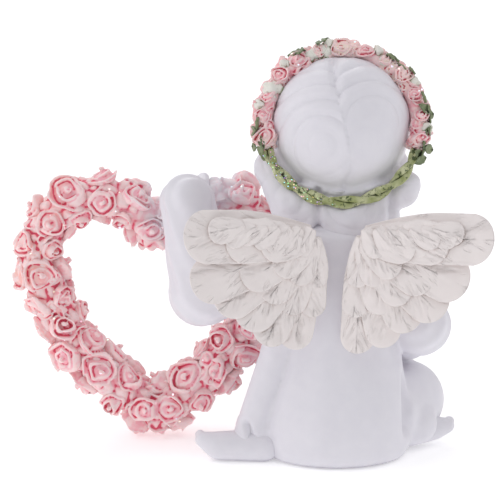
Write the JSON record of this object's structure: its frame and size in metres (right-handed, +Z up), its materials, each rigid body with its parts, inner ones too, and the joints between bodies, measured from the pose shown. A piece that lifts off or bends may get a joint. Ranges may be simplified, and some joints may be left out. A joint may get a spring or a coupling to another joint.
{
  "type": "angel figurine",
  "caption": "Seated child angel in cast resin, with feathered wings and a flower crown, holding an open heart wreath covered with roses.",
  "frame": {"origin": "middle of the figurine's bounding box, on the surface that it stands on", "axes": "+X towards the angel's left and the wreath, -Y the way the angel faces, +Z up"},
  "size_m": [0.0972, 0.0442, 0.0843],
  "materials": {
    "gown": "cast resin, cool white, satin",
    "skin": "cast resin, cool white, satin",
    "hair": "cast resin, cool white, satin, combed relief",
    "wing": "cast resin, warm white, matte, tan wash in the grooves",
    "vine": "painted olive green with dark lines and glitter",
    "crown_rose": "painted pink with rose-red recesses",
    "crown_bud": "painted greenish white",
    "wreath": "painted pink, rose-red in the recesses",
    "wreath_rose": "painted pink with pale petal edges and sparse glitter"
  },
  "bodies": {
    "root": {"gown": "gown", "gown_lap": "gown", "left_sleeve": "gown", "right_sleeve": "gown", "neck": "skin", "left_leg": "skin", "right_leg": "skin", "left_foot": "skin", "right_foot": "skin", "left_hand": "skin", "right_hand": "skin", "head": "skin", "hair_cap": "hair", "nape_curls": "hair", "left_wing_arm": "wing", "left_wing_long_feathers": "wing", "left_wing_middle_feathers": "wing", "left_wing_short_feathers": "wing", "right_wing_arm": "wing", "right_wing_long_feathers": "wing", "right_wing_middle_feathers": "wing", "right_wing_short_feathers": "wing", "crown_band": "vine", "crown_vine_a": "vine", "crown_vine_b": "vine", "crown_roses_back": "crown_rose", "crown_roses_front": "crown_rose", "crown_buds": "crown_bud", "wreath_core": "wreath", "wreath_roses_rim": "wreath_rose", "wreath_roses_back": "wreath_rose", "wreath_roses_inner": "wreath_rose", "wreath_roses_front": "wreath_rose"}
  },
  "joints": []
}
